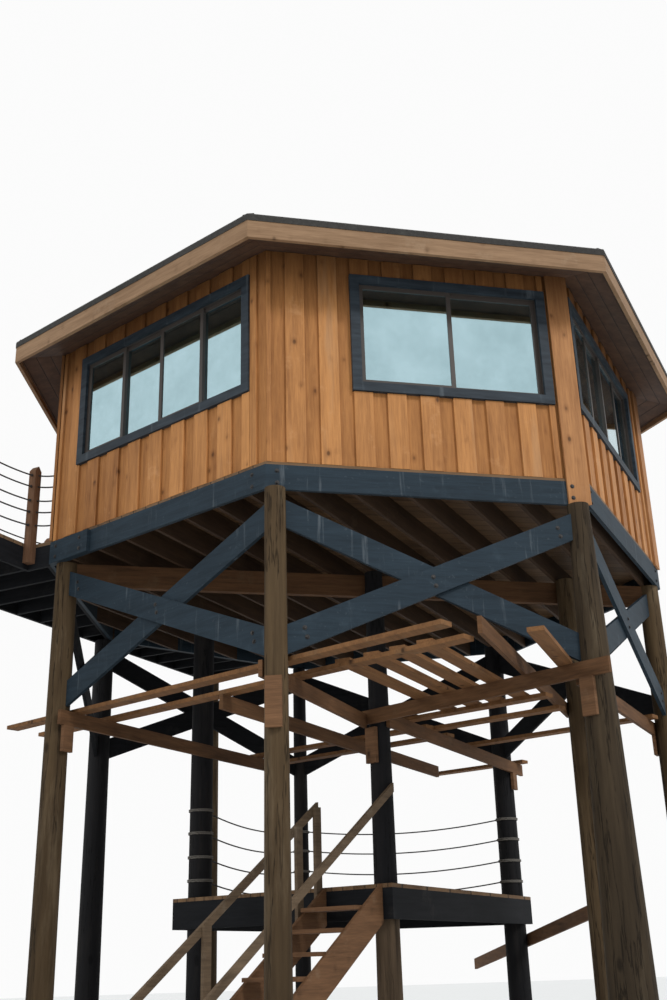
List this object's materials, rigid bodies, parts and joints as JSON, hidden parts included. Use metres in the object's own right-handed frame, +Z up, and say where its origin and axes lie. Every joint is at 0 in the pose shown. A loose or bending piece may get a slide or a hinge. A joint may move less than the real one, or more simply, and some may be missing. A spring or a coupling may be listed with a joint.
{
  "type": "tree house",
  "caption": "Seven-sided wooden cabin on tall log posts, with X-braced bays, an entry deck, a low landing with a stair and an unfinished timber grid below.",
  "frame": {"origin": "foot of the centre post, on the ground", "axes": "+Z up; +X to the right along the front wall as seen from outside; +Y from the front wall into the cabin"},
  "size_m": [10.136, 9.0723, 9.2004],
  "materials": {
    "log": "weathered, dry",
    "black_timber": "black stain, matt",
    "slate_timber": "blue-grey paint with pale water streaks",
    "brown_timber": "brown, weathered",
    "fresh_timber": "raw sawn timber",
    "siding": "orange-brown stain, satin",
    "window_trim": "blue-grey paint, satin",
    "glass": "clear",
    "roofing": "dark, matt",
    "rope": "twisted rope, matt"
  },
  "bodies": {
    "root": {"post_front_left": "log", "post_front_right": "log", "side_posts": "log", "girder_post": "log", "deck_posts": "log", "rear_posts": "black_timber", "centre_post": "black_timber", "landing_post": "black_timber", "braces_rear": "black_timber", "landing_frame": "black_timber", "deck_frame": "black_timber", "ring_beams": "slate_timber", "braces_front": "slate_timber", "braces_left": "slate_timber", "braces_right": "slate_timber", "girder": "brown_timber", "floor_joists": "brown_timber", "roof_rafters": "brown_timber", "grid_bearers": "brown_timber", "low_brace": "brown_timber", "landing_boards": "brown_timber", "deck_boards": "brown_timber", "grid_planks": "fresh_timber", "grid_cleats": "fresh_timber", "stair_strings": "fresh_timber", "stair_treads": "fresh_timber", "stair_rails": "fresh_timber", "deck_railing": "fresh_timber", "cabin_floor": "fresh_timber", "wall_front": "siding", "wall_left": "siding", "wall_entry": "siding", "walls_rear": "siding", "wall_right": "siding", "roof_soffit": "siding", "corner_boards": "siding", "roof_fascia": "siding", "entry_door": "siding", "window_front": "window_trim", "window_left": "window_trim", "window_right": "window_trim", "windows_rear": "window_trim", "window_glass": "glass", "roof_cover": "roofing", "ropes": "rope"}
  },
  "joints": []
}
